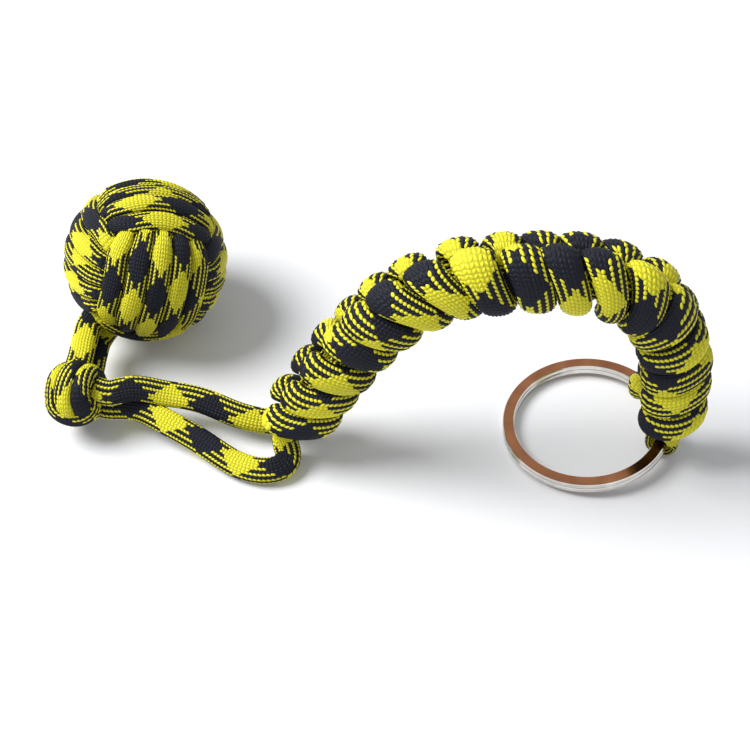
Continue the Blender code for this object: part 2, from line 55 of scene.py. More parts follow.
LOOKED_AT = (0.97 * MM, -0.96 * MM, 0.0)

lens = bpy.data.cameras.new("camera")
lens.angle = CAMERA_WIDTH_OF_VIEW
lens.clip_start = 10 * MM
camera = bpy.data.objects.new("camera", lens)
bpy.context.scene.collection.objects.link(camera)
camera.location = (
    LOOKED_AT[0],
    LOOKED_AT[1] - CAMERA_DISTANCE * math.cos(CAMERA_RISE),
    LOOKED_AT[2] + CAMERA_DISTANCE * math.sin(CAMERA_RISE),
)
camera.rotation_euler = (math.pi / 2 - CAMERA_RISE, 0, 0)
bpy.context.scene.camera = camera

# The cord. All of the fob is tied from one kind of nylon cord, four millimetres thick: a braided sheath of
# 48 yarns over a soft heart. Half of the yarns are lemon yellow and half navy, side by side round the cord,
# so the braid shows plain diamonds of each colour, with dotted ribs of both between them.
CORD_DIAMETER = 4.0 * MM
TOUCH_GAP = 0.3 * MM
BRAID_RIBS = 24
BRAID_REPEAT = 16.0 * MM
LEMON_SHARE = 0.46
CORD_SIDES = 2 * BRAID_RIBS
GROOVE_DEPTH = 0.07
STITCH_LEAN = 0.4
OVAL_STEPS = 160
# The lemon yarn's colour comes as a lit and a shaded copy. They are mixed along the fibres as painted fibre
# shading.
LEMON_LIT = (0.97, 0.94, 0.065, 1)
LEMON_SHADED = (0.82, 0.75, 0.015, 1)
# NAVY_WORN is navy worn lighter by handling. The painted fibre shading also keeps it out of the fibres'
# grooves.
NAVY = (0.003, 0.004, 0.010, 1)
NAVY_WORN = (0.014, 0.018, 0.036, 1)
CORD_GLOSS = 0.22
NAVY_ROUGHNESS = 0.6
LEMON_SMOOTHER_BY = 0.12
STITCH_TOP_FROM = 0.1
FIBRES_PER_STITCH = 6.0
FIBRE_SCALE = 1.3
HANDLING_SCALE = 160.0
# Painted shade: the cord's colour is darkened between the stitches, scaled by SHADE_BETWEEN_STITCHES in the
# grooves and rising by SHADE_ON_STITCHES to the stitch tops.
SHADE_BETWEEN_STITCHES = 0.64
SHADE_ON_STITCHES = 0.38
FIBRE_CONTRAST = 0.9
FIBRE_DARKER_BY = 0.1
FIBRE_RELIEF = 0.18
RELIEF_STRENGTH = 0.8
RELIEF_DEPTH = 0.22 * MM


def sum_of(tree, operation, *terms):
    """Adds a node that works out one number, and gives what comes out. Terms are numbers or sockets."""
    node = tree.nodes.new("ShaderNodeMath")
    node.operation = operation
    for term, socket in zip(terms, node.inputs):
        if isinstance(term, bpy.types.NodeSocket):
            tree.links.new(term, socket)
        else:
            socket.default_value = term
    return node.outputs[0]


def blend_of(tree, share, first, second):
    """Adds a node that mixes two colours, and gives what comes out."""
    node = tree.nodes.new("ShaderNodeMix")
    node.data_type = "RGBA"
    for term, socket in ((share, node.inputs[0]), (first, node.inputs[6]), (second, node.inputs[7])):
        if isinstance(term, bpy.types.NodeSocket):
            tree.links.new(term, socket)
        else:
            socket.default_value = term
    return node.outputs[2]


def speckle_of(tree, place, scale, detail):
    """Adds a noise, and gives what comes out."""
    noise = tree.nodes.new("ShaderNodeTexNoise")
    noise.inputs["Scale"].default_value = scale
    noise.inputs["Detail"].default_value = detail
    tree.links.new(place, noise.inputs["Vector"])
    return noise.outputs[0]


def new_finish(name):
    """A new material, its nodes, and the shader in it."""
    material = bpy.data.materials.new(name)
    material.use_nodes = True
    return material, material.node_tree, material.node_tree.nodes["Principled BSDF"]


def fall_of_yarn(tree, from_middle):
    """How far a yarn's rounded top has fallen: 0 in its middle and 1 at its edge."""
    share = sum_of(tree, "MULTIPLY", sum_of(tree, "ABSOLUTE", from_middle), 2.0)
    return sum_of(tree, "POWER", share, 2.0)


def yarn_is_lemon(tree, yarn):
    """1 for a lemon yarn and 0 for a navy one. The yarns of one direction are counted round the cord."""
    share_of_round = sum_of(tree, "FRACT", sum_of(tree, "DIVIDE", yarn, BRAID_RIBS))
    return sum_of(tree, "LESS_THAN", share_of_round, LEMON_SHARE)


def braided_cord_finish():
    material, tree, nylon = new_finish("braided_cord")
    nylon.inputs["Specular IOR Level"].default_value = CORD_GLOSS
    braid = tree.nodes.new("ShaderNodeUVMap")
    braid.uv_map = "braid"
    split = tree.nodes.new("ShaderNodeSeparateXYZ")
    tree.links.new(braid.outputs[0], split.inputs[0])
    round_cord, along_cord = split.outputs[0], split.outputs[1]

    # The yarns run both ways round the cord, and each rib holds the stitches of the other way than the last.
    ribs = sum_of(tree, "MULTIPLY", round_cord, BRAID_RIBS)
    rib = sum_of(tree, "FLOOR", ribs)
    from_rib_middle = sum_of(tree, "SUBTRACT", sum_of(tree, "FRACT", ribs), 0.5)
    half_of_rib = sum_of(tree, "FRACT", sum_of(tree, "MULTIPLY", rib, 0.5))
    leans_back = sum_of(tree, "GREATER_THAN", half_of_rib, 0.25)
    direction = sum_of(tree, "MULTIPLY_ADD", leans_back, -2.0, 1.0)
    rib_middle = sum_of(tree, "ADD", rib, 0.5)
    rows = sum_of(tree, "MULTIPLY", along_cord, BRAID_RIBS)
    lean = sum_of(tree, "MULTIPLY_ADD", from_rib_middle, STITCH_LEAN, rib_middle)
    stitches = sum_of(tree, "MULTIPLY_ADD", lean, direction, rows)
    from_stitch_middle = sum_of(tree, "SUBTRACT", sum_of(tree, "FRACT", stitches), 0.5)
    own_yarn = sum_of(tree, "FLOOR", stitches)
    crossing_direction = sum_of(tree, "MULTIPLY", direction, -1.0)
    crossing_yarn = sum_of(tree, "FLOOR", sum_of(tree, "MULTIPLY_ADD", rib_middle, crossing_direction, rows))

    # Each stitch has a rounded top, and the yarn that crosses below shows round it.
    fall = sum_of(tree, "ADD", fall_of_yarn(tree, from_rib_middle), fall_of_yarn(tree, from_stitch_middle))
    height = sum_of(tree, "MAXIMUM", sum_of(tree, "SUBTRACT", 1.0, fall), 0.0)
    on_top = sum_of(tree, "GREATER_THAN", height, STITCH_TOP_FROM)
    lemon_or_below = sum_of(tree, "MAXIMUM", on_top, yarn_is_lemon(tree, crossing_yarn))
    is_lemon = sum_of(tree, "MULTIPLY", yarn_is_lemon(tree, own_yarn), lemon_or_below)
    roughness = sum_of(tree, "MULTIPLY_ADD", is_lemon, -LEMON_SMOOTHER_BY, NAVY_ROUGHNESS)
    tree.links.new(roughness, nylon.inputs["Roughness"])

    place_on_yarn = tree.nodes.new("ShaderNodeCombineXYZ")
    tree.links.new(sum_of(tree, "MULTIPLY", stitches, FIBRES_PER_STITCH), place_on_yarn.inputs[0])
    tree.links.new(ribs, place_on_yarn.inputs[1])
    fibres = speckle_of(tree, place_on_yarn.outputs[0], FIBRE_SCALE, 2.0)
    space = tree.nodes.new("ShaderNodeTexCoord")
    handling = speckle_of(tree, space.outputs["Object"], HANDLING_SCALE, 3.0)

    # Painted fibre shading: the lemon is mixed from its lit and its shaded copy by the fibres' noise. It is
    # darker where the same noise lowers the fibres' relief.
    painted_fibre_shading = sum_of(tree, "MULTIPLY_ADD", fibres, FIBRE_CONTRAST, -FIBRE_DARKER_BY)
    lemon = blend_of(tree, painted_fibre_shading, LEMON_SHADED, LEMON_LIT)
    # Navy is worn lighter where the handling noise is high, which is real wear. The painted fibre shading
    # makes it darker in the fibres' grooves.
    worn = sum_of(tree, "MULTIPLY", painted_fibre_shading, handling)
    navy = blend_of(tree, worn, NAVY, NAVY_WORN)
    colour = blend_of(tree, is_lemon, navy, lemon)
    # Painted shade: the colour is darker down the stitches' sides and in the grooves between them, by how
    # high the yarn stands there.
    up_on_yarn = sum_of(tree, "POWER", height, 0.5)
    painted_groove_shade = sum_of(tree, "MULTIPLY_ADD", up_on_yarn, SHADE_ON_STITCHES, SHADE_BETWEEN_STITCHES)
    shaded = tree.nodes.new("ShaderNodeVectorMath")
    shaded.operation = "SCALE"
    tree.links.new(colour, shaded.inputs[0])
    tree.links.new(painted_groove_shade, shaded.inputs["Scale"])
    tree.links.new(shaded.outputs[0], nylon.inputs["Base Color"])

    relief = sum_of(tree, "MULTIPLY_ADD", fibres, FIBRE_RELIEF, height)
    bump = tree.nodes.new("ShaderNodeBump")
    bump.inputs["Strength"].default_value = RELIEF_STRENGTH
    bump.inputs["Distance"].default_value = RELIEF_DEPTH
    tree.links.new(relief, bump.inputs["Height"])
    tree.links.new(bump.outputs[0], nylon.inputs["Normal"])
    return material


BRAIDED_CORD = braided_cord_finish()


def unit(rows):
    return rows / np.linalg.norm(rows, axis=-1, keepdims=True)


def lengths_along(centres):
    return np.concatenate([[0.0], np.cumsum(np.linalg.norm(np.diff(centres, axis=0), axis=1))])


def new_piece(name, points, faces, finish):
    """A smooth piece made of the faces, in its finish."""
    mesh = bpy.data.meshes.new(name)
    mesh.from_pydata(points, [], faces)
    mesh.shade_smooth()
    mesh.materials.append(finish)
    piece = bpy.data.objects.new(name, mesh)
    bpy.context.scene.collection.objects.link(piece)
    return piece


def cord_skin(name, sections, turned, run, body=None):
    """A closed skin through the sections, each a ring of CORD_SIDES points that starts at the cord's flank.

    turned is how far the braid is turned round the cord at each section, and run how far along it that is,
    both counted in whole repeats of the braid.
    """
    count = len(sections)
    points = sections.reshape(-1, 3)
    ring = np.arange(CORD_SIDES)
    here = np.arange(count - 1)[:, None] * CORD_SIDES + ring
    beside = np.arange(count - 1)[:, None] * CORD_SIDES + (ring + 1) % CORD_SIDES
    faces = np.stack([here, here + CORD_SIDES, beside + CORD_SIDES, beside], -1).reshape(-1, 4).tolist()
    faces.append(ring.tolist())
    faces.append((ring[::-1] + (count - 1) * CORD_SIDES).tolist())
    piece = new_piece(name, points, faces, BRAIDED_CORD)
    u = ring / CORD_SIDES - 0.25
    u_here = u[None, :] + turned[:, None]
    v_here = np.repeat(run[:, None], CORD_SIDES, axis=1)
    step = 1 / CORD_SIDES
    corners = [
        (u_here[:-1], v_here[:-1]),
        (u_here[1:], v_here[1:]),
        (u_here[1:] + step, v_here[1:]),
        (u_here[:-1] + step, v_here[:-1]),
    ]
    braid = np.stack([np.stack(corner, -1) for corner in corners], 2).reshape(-1, 2)
    ends = np.zeros((2 * CORD_SIDES, 2))
    layer = piece.data.uv_layers.new(name="braid")
    layer.data.foreach_set("uv", np.concatenate([braid, ends]).ravel().astype(np.float32))
    if body:
        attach(piece, body)
    return piece


def ribbed_oval(width, thickness, fullness=0.8):
    """The (across, out) points of a pressed cord's sections: ovals with full flanks and the braid's ribs.

    The braid doesn't stretch, so the points lie evenly round each oval.
    """
    angle = 2 * math.pi * np.arange(OVAL_STEPS + 1) / OVAL_STEPS
    c, s = np.cos(angle), np.sin(angle)
    fine_across = np.outer(width, np.sign(c) * np.abs(c) ** fullness) / 2
    fine_out = np.outer(thickness, np.sign(s) * np.abs(s) ** fullness) / 2
    groove = 1 - GROOVE_DEPTH * (np.arange(CORD_SIDES) % 2 == 0)
    across, out = [], []
    for a, b in zip(fine_across, fine_out):
        run = lengths_along(np.stack([a, b], -1))
        even = run[-1] * np.arange(CORD_SIDES) / CORD_SIDES
        across.append(np.interp(even, run, a) * groove)
        out.append(np.interp(even, run, b) * groove)
    return np.array(across), np.array(out)


def pressed_cord(name, centres, outs, width, thickness, turned, run, body=None):
    """A cord along the centres. outs point away from what it is pressed on."""
    size = np.ones(len(centres))
    along = unit(np.gradient(centres, axis=0))
    out = unit(outs - along * (outs * along).sum(1)[:, None])
    across = np.cross(along, out)
    a, b = ribbed_oval(width * size, thickness * size)
    sections = centres[:, None] + across[:, None] * a[..., None] + out[:, None] * b[..., None]
    return cord_skin(name, sections, turned * size, run, body)


# The layout. The free cords run from the stopper knot to the foot of the sennit, so the knot's place and
# the line of the sennit come first. The sennit stands on the table as an arch, and is rolled a little to
# the back at its crown.
FOOTPRINT_MIDDLE = np.array((-0.97, 16.79, 0.0)) * MM
KNOT_WRAPS = 3
KNOT_CORD_WIDTH = 3.3 * MM
KNOT_CORD_THICKNESS = 3.2 * MM
KNOT_HEART_DIAMETER = 4.6 * MM
KNOT_PLACE = (-54.5, 4.9, 7.7)
CURVE_STEPS = 3000
SENNIT_WRAPS = 17
SENNIT_CROWN_ROLL = math.radians(-18)
SENNIT_ROUTE = (
    (-16.2, -1.0, 5.4),
    (-10.4, -1.0, 15.8),
    (-5.8, -1.0, 24.7),
    (-1.2, -1.0, 31.8),
    (3.9, -1.0, 38.2),
    (9.2, -1.0, 42.6),
    (15.8, -1.0, 45.4),
    (22.4, -1.0, 46.4),
    (29.0, -1.0, 46.6),
    (35.8, -1.0, 45.8),
    (41.2, -1.0, 43.8),
    (45.8, -1.2, 40.4),
    (49.4, -1.5, 35.2),
    (51.8, -1.8, 28.2),
    (52.9, -2.1, 20.4),
    (53.2, -2.4, 14.2),
    (53.0, -2.6, 9.6),
)


def natural_curve(points):
    """A smooth curve through the points: a function from length along it to place, and its whole length."""
    knots = np.array(points, float)
    chords = np.linalg.norm(np.diff(knots, axis=0), axis=1)
    at = np.concatenate([[0.0], np.cumsum(chords)])
    last = len(knots) - 1
    system = np.eye(last + 1)
    pull = np.zeros_like(knots)
    for i in range(1, last):
        before, after = chords[i - 1], chords[i]
        system[i, i - 1 : i + 2] = before, 2 * (before + after), after
        pull[i] = 6 * ((knots[i + 1] - knots[i]) / after - (knots[i] - knots[i - 1]) / before)
    bend = np.linalg.solve(system, pull)
    distance = np.linspace(0.0, at[-1], CURVE_STEPS)
    i = np.clip(np.searchsorted(at, distance) - 1, 0, last - 1)
    chord = chords[i][:, None]
    done, left = (distance - at[i])[:, None], (at[i + 1] - distance)[:, None]
    fine = (
        bend[i] * left**3 / (6 * chord)
        + bend[i + 1] * done**3 / (6 * chord)
        + (knots[i] / chord - bend[i] * chord / 6) * left
        + (knots[i + 1] / chord - bend[i + 1] * chord / 6) * done
    )
    run = lengths_along(fine)

    def at_length(length):
        return np.stack([np.interp(length, run, fine[:, axis]) for axis in range(3)], -1)

    return at_length, float(run[-1])


def place(x, y, z):
    """A point of the layout, given in millimetres, in metres from the middle of the footprint."""
    return np.array((x, y, z)) * MM - FOOTPRINT_MIDDLE


KNOT_CENTRE = place(*KNOT_PLACE)
KNOT_WRAP_RADIUS = KNOT_HEART_DIAMETER / 2 + TOUCH_GAP + KNOT_CORD_THICKNESS / 2
KNOT_PITCH = KNOT_CORD_WIDTH + TOUCH_GAP
KNOT_AXIS = unit(np.array((0.98, -0.15, -0.1)))
KNOT_SIDEWAYS = unit(np.cross(KNOT_AXIS, (0, 0, 1)))
KNOT_UPWARDS = np.cross(KNOT_SIDEWAYS, KNOT_AXIS)
KNOT_HALF_LENGTH = KNOT_WRAPS * KNOT_PITCH / 2
SENNIT_AT, SENNIT_LENGTH = natural_curve([place(*point) for point in SENNIT_ROUTE])
SENNIT_PITCH = SENNIT_LENGTH / (SENNIT_WRAPS + 0.5)


def bent_along_route(p, q, s):
    """Where points of the straight sennit lie: p across the two columns, q through them, s along."""
    small = 0.2 * MM
    s_inside = np.clip(s, small, SENNIT_LENGTH - small)
    run = unit(SENNIT_AT(s_inside + small) - SENNIT_AT(s_inside - small))
    middle = SENNIT_AT(s_inside) + run * (s - s_inside)[..., None]
    level = unit(np.array((0.0, -1.0, 0.0)) - run * -run[..., 1:2])
    outer = np.cross(level, run)
    roll = (SENNIT_CROWN_ROLL * np.sin(math.pi * s_inside / SENNIT_LENGTH) ** 2)[..., None]
    column = level * np.cos(roll) - outer * np.sin(roll)
    through = level * np.sin(roll) + outer * np.cos(roll)
    return middle + column * p[..., None] + through * q[..., None]


# The open loop. Two bights of the cord run free from the stopper knot to the foot of the sennit. The front
# one lies on the table and turns round under the foot. Each is whole.
CORE_CORD_THICKNESS = 1.7 * MM
CORE_CORD_WIDTH = 5.6 * MM
CORE_GAP = 0.48 * MM
CORE_TRIM = 0.8 * MM
SENNIT_CROSSING_THICKNESS = 2.2 * MM
CORE_MIDDLE = SENNIT_CROSSING_THICKNESS / 2 + CORE_CORD_THICKNESS / 2 + CORE_GAP
TABLE_CORD = 2.25
LOOP_CLEAR_OF_KNOT = 0.9 * MM
LOOP_STARTS_APART = 1.0 * MM
FOOT_TURN_SHORT = 1.1 * MM
LOOP_BACK_ROUTE = (
    (-44.0, 5.1, 8.8),
    (-40.0, 5.3, 7.6),
    (-35.5, 4.9, 6.9),
    (-31.0, 3.9, 6.3),
    (-26.5, 2.4, 5.2),
    (-22.4, 1.6, 4.2),
    (-19.2, 1.4, 3.8),
    (-17.1, 1.4, 4.3),
)
LOOP_FRONT_ROUTE = (
    (-44.0, 3.7, 4.9),
    (-40.0, 1.7, 4.5),
    (-35.5, -0.9, 3.9),
    (-31.0, -3.6, 3.1),
    (-26.5, -6.6, 2.3),
    (-22.0, -8.6, TABLE_CORD),
    (-19.0, -8.7, TABLE_CORD),
    (-16.8, -7.7, TABLE_CORD),
    (-15.9, -5.6, TABLE_CORD + 0.4),
    (-16.3, -4.1, TABLE_CORD + 1.6),
)
FREE_CORD_STEP = 0.7 * MM
FREE_CORD_WIDTH = 4.8 * MM
FREE_CORD_THICKNESS = 3.7 * MM
HIDDEN_REACH = 3.5 * MM
LOOP_BACK_TURNED = 0.083
LOOP_BACK_RUN_FROM = 0.58
LOOP_FRONT_TURNED = -0.083
LOOP_FRONT_RUN_FROM = 0.55
TO_VIEWER = np.array((0.0, -0.64, 0.77))


def sennit_point(p, s):
    """One point of the sennit: p across its two columns, and s along it."""
    return bent_along_route(np.array(p), np.array(0.0), np.array(s))


def kept_apart(here, there):
    """Two places of cords that run side by side, moved apart if the cords would run into each other."""
    between = here - there
    distance = np.linalg.norm(between)
    push = between / distance * max(CORD_DIAMETER + TOUCH_GAP - distance, 0.0) / 2
    return here + push, there - push


def loop_routes():
    end = KNOT_CENTRE + KNOT_AXIS * (KNOT_HALF_LENGTH + LOOP_CLEAR_OF_KNOT)
    back = [end + KNOT_UPWARDS * LOOP_STARTS_APART, *[place(*point) for point in LOOP_BACK_ROUTE]]
    front = [end - KNOT_UPWARDS * LOOP_STARTS_APART, *[place(*point) for point in LOOP_FRONT_ROUTE]]
    for i in range(len(back) - 1):
        back[i], front[i] = kept_apart(back[i], front[i])
    core_start = CORE_TRIM - TOUCH_GAP
    back.append(sennit_point(-CORE_MIDDLE, core_start))
    front.append(sennit_point(CORE_MIDDLE, core_start - FOOT_TURN_SHORT))
    return back, front


def free_cord(name, route, facing, turned, run_from, body=None):
    """A soft, slightly flat cord along its route. The braid's turn is counted from the facing side."""
    at_length, length = natural_curve(route)
    count = max(4, round(length / FREE_CORD_STEP))
    centres = at_length(np.linspace(0.0, length, count + 1))
    outs = np.repeat(np.array([facing], float), count + 1, axis=0)
    run = run_from + lengths_along(centres) / BRAID_REPEAT
    piece = pressed_cord(name, centres, outs, FREE_CORD_WIDTH, FREE_CORD_THICKNESS, turned, run, body)
    return piece, centres, length


def loop_of_two_cords():
    """Each cord runs on unseen for a little way into the stopper knot and into the foot of the sennit."""
    back, front = loop_routes()
    in_front_nodes = ["loop_cord_front", "foot_turn_cord"]
    for name, side, route, nodes, turned, run_from in (
        ("loop_cord_behind", -1, back, ["loop_cord_back"], LOOP_BACK_TURNED, LOOP_BACK_RUN_FROM),
        ("loop_cord_in_front", 1, front, in_front_nodes, LOOP_FRONT_TURNED, LOOP_FRONT_RUN_FROM),
    ):
        piece, centres, length = free_cord(name, route, TO_VIEWER, turned, run_from)
        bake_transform(piece)
        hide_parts(*nodes)
        into_knot = [route[0] - KNOT_AXIS * HIDDEN_REACH, centres[0], centres[1]]
        run_there = run_from - HIDDEN_REACH / BRAID_REPEAT
        in_knot = free_cord(name + "_in_knot", into_knot, TO_VIEWER, turned, run_there, "knot")
        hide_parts("knot_heart")
        into_foot = [centres[-2], centres[-1], sennit_point(side * CORE_MIDDLE, HIDDEN_REACH)]
        run_there = run_from + (length - FREE_CORD_STEP) / BRAID_REPEAT
        in_foot = free_cord(name + "_in_foot", into_foot, TO_VIEWER, turned, run_there, "foot")
        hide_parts("sennit_core_near" if side > 0 else "sennit_core_far")


loop_of_two_cords()

# The monkey fist. Three groups of five turns of the cord lie round a steel ball. Each group is at right
# angles to the last and lies over it on two faces. All are pulled up tight, one turn after the other.
CORE_BALL_DIAMETER = 18.0 * MM
FIST_CORD_WIDTH = 3.5 * MM
FIST_CORD_THICKNESS = 3.0 * MM
FIST_TURNS = 5
FIST_STEPS_PER_TURN = 56
FIST_PLACE = (-43.8, 31.5)
FIST_INNER_RADIUS = CORE_BALL_DIAMETER / 2 + TOUCH_GAP + FIST_CORD_THICKNESS / 2
FIST_OUTER_RADIUS = FIST_INNER_RADIUS + FIST_CORD_THICKNESS + TOUCH_GAP
FIST_RADIUS = FIST_OUTER_RADIUS + FIST_CORD_THICKNESS / 2
FIST_CENTRE = place(*FIST_PLACE, FIST_RADIUS / MM)
FIST_PITCH = FIST_CORD_WIDTH + TOUCH_GAP
FIST_FRONT_AXIS = unit(np.array((0.23, -0.92, 0.3)))
FIST_LEFT_AXIS = unit(np.cross(FIST_FRONT_AXIS, (0.25, 0.36, 0.9)))
FIST_TOP_AXIS = np.cross(FIST_LEFT_AXIS, FIST_FRONT_AXIS)
FIST_DIVE_FROM = math.radians(41)
FIST_DIVE_TO = math.radians(60)
FIST_PINCH_FROM = math.radians(24)
FIST_PINCH_TO = math.radians(60)
FIST_PINCH = 0.7
FIST_MOVE_OVER = 0.13
FIST_HIDDEN_SHARE = 0.2
FIST_UNSEEN_RUN = 0.6
# The turns press on each other, so they are made a little wider and thicker than the room each one has.
FIST_PRESSED_WIDTH = 1.06
FIST_PRESSED_THICKNESS = 3.25 * MM
FIST_PRESSED_IN = 0.13 * MM


def smooth_step(x):
    x = np.clip(x, 0.0, 1.0)
    return x * x * (3 - 2 * x)


def eased(values, position, hidden):
    """A value for each stretch of cord, at positions counted in stretches. It changes where it is hidden."""
    values = np.asarray(values, float)
    joins = np.clip(np.rint(position), 1, len(values) - 1).astype(int)
    share = smooth_step((position - joins) / (2 * hidden) + 0.5)
    return values[joins - 1] + (values[joins] - values[joins - 1]) * share


def fist_winding(name, outer_axis, inner_axis, side_axis, turned, run):
    """Five turns. turned and run place the braid in the middle of each half turn, where it lies outside."""
    count = FIST_TURNS * FIST_STEPS_PER_TURN
    wound = 2 * math.pi * FIST_TURNS * np.arange(count + 1) / count
    angle = wound - math.pi / 2
    from_face = np.abs((angle + math.pi / 2) % math.pi - math.pi / 2)
    layer = 1 - smooth_step((from_face - FIST_DIVE_FROM) / (FIST_DIVE_TO - FIST_DIVE_FROM))
    pinched = smooth_step((from_face - FIST_PINCH_FROM) / (FIST_PINCH_TO - FIST_PINCH_FROM))
    pinch = 1 - (1 - FIST_PINCH) * pinched
    turn = wound / (2 * math.pi)
    whole = np.floor(turn + 0.5)
    steps = np.clip(whole - 1 + smooth_step((turn - whole) / FIST_MOVE_OVER + 0.5), 0, FIST_TURNS - 1)
    offset = (steps - (FIST_TURNS - 1) / 2) * FIST_PITCH * pinch
    radius = FIST_INNER_RADIUS + (FIST_OUTER_RADIUS - FIST_INNER_RADIUS) * layer - FIST_PRESSED_IN
    in_plane = np.sqrt(radius**2 - offset**2)
    round_ball = np.outer(np.cos(angle), outer_axis) + np.outer(np.sin(angle), inner_axis)
    out = round_ball * in_plane[:, None] + np.outer(offset, side_axis)
    half_turns = wound / math.pi
    halves = np.clip(np.floor(half_turns), 0, 2 * FIST_TURNS - 1)
    from_middle = lengths_along(out)
    middles = np.interp(halves + 0.5, half_turns, from_middle)
    run_on = eased(run, half_turns, FIST_HIDDEN_SHARE) + (from_middle - middles) / BRAID_REPEAT
    turned_on = eased(turned, half_turns, FIST_HIDDEN_SHARE)
    centres = FIST_CENTRE + out
    width = FIST_PITCH * pinch * FIST_PRESSED_WIDTH
    return pressed_cord(name, centres, out, width, FIST_PRESSED_THICKNESS, turned_on, run_on, "fist")


def monkey_fist():
    """The braid's place is given for the five seen half turns of each group, and goes on round the back."""
    front, top, left = FIST_FRONT_AXIS, FIST_TOP_AXIS, FIST_LEFT_AXIS
    for group, axes, seen_turned, seen_run in (
        ("front", (front, top, left), (0.25, 0, 0, 0, 0), (0.3, 0.17, 0.75, 0.42, 0.75)),
        ("top", (top, left, front), (0, 0, 0.25, 0, 0), (0.05, 0.42, 0.75, 0.96, 0.25)),
        ("side", (left, front, top), (0, 0, 0.25, 0, 0), (0.45, 0.95, 0.4, 0.95, 0.6)),
    ):
        turned = np.repeat(seen_turned, 2)
        run = np.repeat(seen_run, 2) + np.tile((0.0, FIST_UNSEEN_RUN), FIST_TURNS)
        winding = fist_winding("fist_turns_" + group, *axes, turned, run)
        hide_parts("fist_winding_" + group)


monkey_fist()

# The neck. The two ends of the fist's cord leave it side by side and go into the stopper knot. They are
# short and free, so the fist swings on them.
NECK_LEAVES_FIST = unit(np.array((-0.556, -0.712, -0.428)))
NECK_CLEAR_OF_FIST = 1.7 * MM
NECK_CLEAR_OF_KNOT = 1.2 * MM
NECK_SPREAD = unit(np.array((-0.33, 0.1, 0.94))) * MM
NECK_RISE_AT_KNOT = 0.17
NECK_ENTERS_KNOT_AT = 0.1
NECK_RUN_FROM = (0.59, 0.2)
NECK_BOW = np.array((0, 0, 0.25)) * MM
NECK_REACH_INTO_FIST = 4.6 * MM
NECK_REACH_INTO_KNOT = 3.0 * MM


def neck_cords():
    start = FIST_CENTRE + NECK_LEAVES_FIST * (FIST_RADIUS + NECK_CLEAR_OF_FIST)
    away = unit(KNOT_UPWARDS * NECK_RISE_AT_KNOT - KNOT_SIDEWAYS)
    reach = KNOT_WRAP_RADIUS + KNOT_CORD_THICKNESS / 2 + NECK_CLEAR_OF_KNOT
    end = KNOT_CENTRE - KNOT_AXIS * KNOT_HALF_LENGTH * NECK_ENTERS_KNOT_AT + away * reach
    into_fist = start - NECK_LEAVES_FIST * NECK_REACH_INTO_FIST
    into_knot = end - away * NECK_REACH_INTO_KNOT
    near_fist = start * 2 / 3 + end / 3 + NECK_BOW
    near_knot = start / 3 + end * 2 / 3 + NECK_BOW
    middles = [into_fist, start, near_fist, near_knot, end, into_knot]
    pairs = [kept_apart(middle + NECK_SPREAD, middle - NECK_SPREAD) for middle in middles]
    for k, side in enumerate(("left", "right")):
        route = [pair[k] for pair in pairs]
        piece = free_cord("neck_" + side, route, TO_VIEWER, 0.0, NECK_RUN_FROM[k])[0]
        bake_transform(piece)
        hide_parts("neck_cord_" + side)


neck_cords()

# The stopper knot. A doubled overhand knot is pulled into a ball: its turns lie side by side like nested
# arcs round a line that points right and forward, and one strand crosses over them below.
KNOT_BALL_CENTRE = KNOT_CENTRE + np.array((-0.6, 0, 0.3)) * MM
KNOT_BALL_RADIUS = 6.2 * MM
KNOT_POLE = unit(np.array((0.90, -0.38, 0.20)))
UP_IN_VIEW = np.array((0.0, 0.77, 0.64))
KNOT_TURNS = 2.75
KNOT_STEPS_PER_TURN = 60
KNOT_FIRST_LATITUDE = math.radians(136)
KNOT_LAST_LATITUDE = math.radians(40)
KNOT_LAST_ANGLE = math.radians(205)
KNOT_NAVY_TURNS = 0.25
KNOT_LEMON_TURNS = 1.25
KNOT_TURNED_AT = (0, 1.1, 1.5, 2.1, 2.5)
KNOT_TURNED = (-0.25, -0.25, -0.13, 0.25, 0.04)
KNOT_PRESSED_WIDTH = 3.8 * MM
KNOT_PRESSED_THICKNESS = 3.3 * MM
CROSSING_STRAND_STEPS = 60
CROSSING_STRAND_LATITUDE = math.radians(66)
CROSSING_STRAND_FROM = math.radians(255)
CROSSING_STRAND_TO = math.radians(435)
CROSSING_STRAND_PROUD = 0.4 * MM
CROSSING_STRAND_DEPTH = 3.0 * MM
CROSSING_STRAND_TURNED = 0.083
KNOT_HEART_STEPS = 14
KNOT_HEART_REACH = 0.9
KNOT_HEART_WIDTH = 7.0 * MM
KNOT_HEART_TAPER = 0.9


def knot_strand(name, pole, up, angle, latitude, radius, turned, navy_at, lemon_at=None):
    """A strand on the ball of the knot, by its angle round a pole and its angle from it.

    The braid shows navy at one step, and lemon at another if one is given.
    """
    side = np.cross(pole, up)
    round_pole = np.outer(np.cos(angle), up) + np.outer(np.sin(angle), side)
    out = np.outer(np.cos(latitude), pole) + round_pole * np.sin(latitude)[:, None]
    centres = KNOT_BALL_CENTRE + out * radius[:, None]
    run = lengths_along(centres) / BRAID_REPEAT
    run += 0.75 - run[navy_at]
    if lemon_at is not None:
        lag = (0.75 - run[lemon_at]) % 1 - 0.5
        halfway = (navy_at + lemon_at) / 2
        run += lag * (1 - smooth_step((np.arange(len(run)) - halfway) / (navy_at - lemon_at) * 2 + 0.5))
    return pressed_cord(name, centres, out, KNOT_PRESSED_WIDTH, KNOT_PRESSED_THICKNESS, turned, run, "knot")


